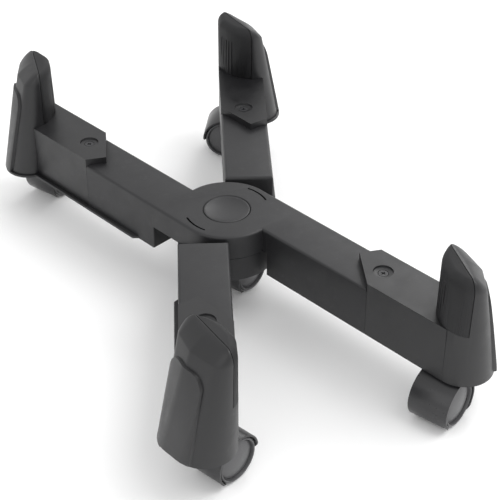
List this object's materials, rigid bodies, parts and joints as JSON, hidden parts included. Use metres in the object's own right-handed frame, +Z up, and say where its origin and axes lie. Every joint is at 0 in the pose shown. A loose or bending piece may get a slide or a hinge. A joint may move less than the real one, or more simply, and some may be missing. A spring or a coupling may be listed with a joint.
{
  "type": "cpu holder",
  "caption": "Rolling floor stand for an upright computer case: crossed scissor arms on a hub pivot, corner posts with grip pads, and swivelling twin-wheel casters",
  "frame": {"origin": "on the floor, under the hub's pivot axis, with the stand at its usual opening", "axes": "+X across the width of the computer case, +Y along its length away from the front posts, +Z up"},
  "size_m": [0.2904, 0.5006, 0.15],
  "materials": {
    "arm_plastic": "fine-textured black moulding",
    "post_plastic": "fine-textured black moulding, slightly glossier on its edges",
    "cap_plastic": "smooth satin black",
    "grip_rubber": "soft matt black with fine upright ribs",
    "bush_plastic": "plain dark grey moulding",
    "caster_plastic": "semi-gloss black",
    "wheel_plastic": "semi-gloss black, slightly scuffed tread",
    "black_steel": "black-oxide coated screw steel",
    "zinc_steel": "zinc-plated",
    "bright_steel": "bright drawn rod"
  },
  "bodies": {
    "lower_arm": {"lower_arm": "arm_plastic", "hub_bolt": "zinc_steel", "hub_washer": "zinc_steel", "hub_nut": "zinc_steel", "post_screws_lower": "black_steel", "post_front_left": "post_plastic", "post_rear_right": "post_plastic", "grip_front_left": "grip_rubber", "grip_rear_right": "grip_rubber", "socket_front_left": "bush_plastic", "socket_rear_right": "bush_plastic", "socket_hub": "bush_plastic"},
    "upper_arm": {"upper_arm": "arm_plastic", "hub_cap": "cap_plastic", "post_screws_upper": "black_steel", "post_front_right": "post_plastic", "post_rear_left": "post_plastic", "grip_front_right": "grip_rubber", "grip_rear_left": "grip_rubber", "socket_front_right": "bush_plastic", "socket_rear_left": "bush_plastic"},
    "caster_front_right": {"housing_front_right": "caster_plastic", "stem_front_right": "bright_steel", "axle_front_right": "bright_steel"},
    "wheel_left_front_right": {"wheel_left_front_right": "wheel_plastic"},
    "wheel_right_front_right": {"wheel_right_front_right": "wheel_plastic"},
    "caster_rear_left": {"housing_rear_left": "caster_plastic", "stem_rear_left": "bright_steel", "axle_rear_left": "bright_steel"},
    "wheel_left_rear_left": {"wheel_left_rear_left": "wheel_plastic"},
    "wheel_right_rear_left": {"wheel_right_rear_left": "wheel_plastic"},
    "caster_front_left": {"housing_front_left": "caster_plastic", "stem_front_left": "bright_steel", "axle_front_left": "bright_steel"},
    "wheel_left_front_left": {"wheel_left_front_left": "wheel_plastic"},
    "wheel_right_front_left": {"wheel_right_front_left": "wheel_plastic"},
    "caster_rear_right": {"housing_rear_right": "caster_plastic", "stem_rear_right": "bright_steel", "axle_rear_right": "bright_steel"},
    "wheel_left_rear_right": {"wheel_left_rear_right": "wheel_plastic"},
    "wheel_right_rear_right": {"wheel_right_rear_right": "wheel_plastic"},
    "caster_hub": {"housing_hub": "caster_plastic", "stem_hub": "bright_steel", "axle_hub": "bright_steel"},
    "wheel_left_hub": {"wheel_left_hub": "wheel_plastic"},
    "wheel_right_hub": {"wheel_right_hub": "wheel_plastic"}
  },
  "joints": [
    {"name": "hub_pivot", "type": "hinge", "parent": "lower_arm", "child": "upper_arm", "pos_m": [0, 0, 0.067], "axis": [0, 0, 1], "range_deg": [-32, 8]},
    {"name": "swivel_front_right", "type": "hinge", "parent": "upper_arm", "child": "caster_front_right", "pos_m": [0.10795, -0.21564, 0.05], "axis": [0, 0, 1], "continuous": true},
    {"name": "roll_left_front_right", "type": "hinge", "parent": "caster_front_right", "child": "wheel_left_front_right", "pos_m": [0.09395, -0.2234, 0.02], "axis": [0.4848, -0.8746, 0], "continuous": true},
    {"name": "roll_right_front_right", "type": "hinge", "parent": "caster_front_right", "child": "wheel_right_front_right", "pos_m": [0.09395, -0.2234, 0.02], "axis": [0.4848, -0.8746, 0], "continuous": true},
    {"name": "swivel_rear_left", "type": "hinge", "parent": "upper_arm", "child": "caster_rear_left", "pos_m": [-0.10795, 0.21564, 0.05], "axis": [0, 0, 1], "continuous": true},
    {"name": "roll_left_rear_left", "type": "hinge", "parent": "caster_rear_left", "child": "wheel_left_rear_left", "pos_m": [-0.09409, 0.22364, 0.02], "axis": [-0.5, 0.866, 0], "continuous": true},
    {"name": "roll_right_rear_left", "type": "hinge", "parent": "caster_rear_left", "child": "wheel_right_rear_left", "pos_m": [-0.09409, 0.22364, 0.02], "axis": [-0.5, 0.866, 0], "continuous": true},
    {"name": "swivel_front_left", "type": "hinge", "parent": "lower_arm", "child": "caster_front_left", "pos_m": [-0.10795, -0.21564, 0.05], "axis": [0, 0, 1], "continuous": true},
    {"name": "roll_left_front_left", "type": "hinge", "parent": "caster_front_left", "child": "wheel_left_front_left", "pos_m": [-0.09345, -0.20888, 0.02], "axis": [-0.4226, 0.9063, 0], "continuous": true},
    {"name": "roll_right_front_left", "type": "hinge", "parent": "caster_front_left", "child": "wheel_right_front_left", "pos_m": [-0.09345, -0.20888, 0.02], "axis": [-0.4226, 0.9063, 0], "continuous": true},
    {"name": "swivel_rear_right", "type": "hinge", "parent": "lower_arm", "child": "caster_rear_right", "pos_m": [0.10795, 0.21564, 0.05], "axis": [0, 0, 1], "continuous": true},
    {"name": "roll_left_rear_right", "type": "hinge", "parent": "caster_rear_right", "child": "wheel_left_rear_right", "pos_m": [0.09409, 0.22364, 0.02], "axis": [-0.5, -0.866, 0], "continuous": true},
    {"name": "roll_right_rear_right", "type": "hinge", "parent": "caster_rear_right", "child": "wheel_right_rear_right", "pos_m": [0.09409, 0.22364, 0.02], "axis": [-0.5, -0.866, 0], "continuous": true},
    {"name": "swivel_hub", "type": "hinge", "parent": "lower_arm", "child": "caster_hub", "pos_m": [0, 0, 0.05], "axis": [0, 0, 1], "continuous": true},
    {"name": "roll_left_hub", "type": "hinge", "parent": "caster_hub", "child": "wheel_left_hub", "pos_m": [0.01413, 0.00751, 0.02], "axis": [-0.4695, 0.8829, 0], "continuous": true},
    {"name": "roll_right_hub", "type": "hinge", "parent": "caster_hub", "child": "wheel_right_hub", "pos_m": [0.01413, 0.00751, 0.02], "axis": [-0.4695, 0.8829, 0], "continuous": true}
  ]
}
